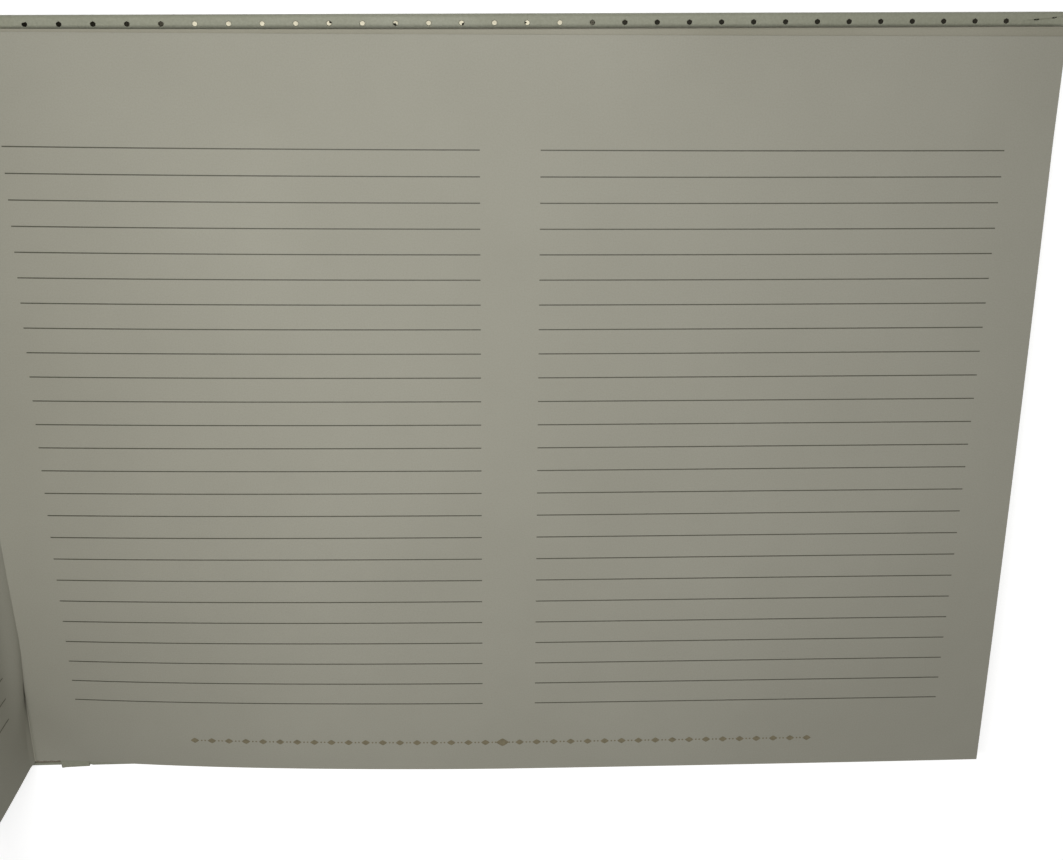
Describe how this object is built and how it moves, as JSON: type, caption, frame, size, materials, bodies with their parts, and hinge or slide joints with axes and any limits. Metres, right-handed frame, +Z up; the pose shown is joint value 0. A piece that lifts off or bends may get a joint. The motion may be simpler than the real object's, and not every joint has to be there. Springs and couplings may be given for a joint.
{
  "type": "wedding guest book",
  "caption": "Landscape case-bound guest book with ruled leaves, half open on its back cover, with hinged covers and spine.",
  "frame": {"origin": "centre of the back cover's underside", "axes": "+X from the spine to the fore-edge, +Y to the head of the page, +Z up"},
  "size_m": [0.2948, 0.2098, 0.2739],
  "materials": {
    "leaf_paper": "matte",
    "cover_material": "grained, slightly glossy",
    "board": "raw",
    "mull": "open weave",
    "tape": "woven",
    "headband": "wound thread"
  },
  "bodies": {
    "spine": {"spine_board": "board", "spine_skin": "cover_material", "spine_liner": "leaf_paper", "paper_lining": "board", "mull_lining": "mull", "sewing_tape_1": "tape", "sewing_tape_2": "tape", "sewing_tape_3": "tape", "section_back_1": "leaf_paper", "section_back_2": "leaf_paper", "section_back_3": "leaf_paper", "section_back_4": "leaf_paper", "section_back_5": "leaf_paper", "section_back_6": "leaf_paper", "section_back_7": "leaf_paper", "section_back_8": "leaf_paper", "head_band": "headband", "tail_band": "headband"},
    "right_leaves": {"back_flyleaf": "leaf_paper", "right_section_1": "leaf_paper", "right_section_2": "leaf_paper", "right_section_3": "leaf_paper", "right_section_4": "leaf_paper"},
    "back_cover": {"back_board": "board", "back_cover_skin": "cover_material", "back_pastedown": "leaf_paper", "back_joint_skin": "cover_material", "back_joint_paper": "leaf_paper"},
    "left_leaves": {"left_section_1": "leaf_paper", "left_section_2": "leaf_paper", "left_section_3": "leaf_paper", "left_section_4": "leaf_paper"},
    "front_flyleaf": {"front_flyleaf": "leaf_paper"},
    "front_cover": {"front_board": "board", "front_cover_skin": "cover_material", "front_pastedown": "leaf_paper", "front_joint_skin": "cover_material", "front_joint_paper": "leaf_paper"}
  },
  "joints": [
    {"name": "right_half_fold", "type": "hinge", "parent": "spine", "child": "right_leaves", "pos_m": [-0.13895, 0, 0.003], "axis": [0, -1, 0], "range_deg": [0, 90]},
    {"name": "back_cover_hinge", "type": "hinge", "parent": "right_leaves", "child": "back_cover", "pos_m": [-0.13895, 0, 0.003], "axis": [0, 1, 0], "range_deg": [0, 45]},
    {"name": "left_half_fold", "type": "hinge", "parent": "spine", "child": "left_leaves", "pos_m": [-0.15975, 0, 0.003], "axis": [0, -1, 0], "range_deg": [0, 90]},
    {"name": "front_flyleaf_turn", "type": "hinge", "parent": "left_leaves", "child": "front_flyleaf", "pos_m": [-0.15975, 0, 0.003], "axis": [0, 1, 0], "range_deg": [-25, 0]},
    {"name": "front_cover_hinge", "type": "hinge", "parent": "front_flyleaf", "child": "front_cover", "pos_m": [-0.15975, 0, 0.003], "axis": [0, 1, 0], "range_deg": [-65, 0]}
  ]
}
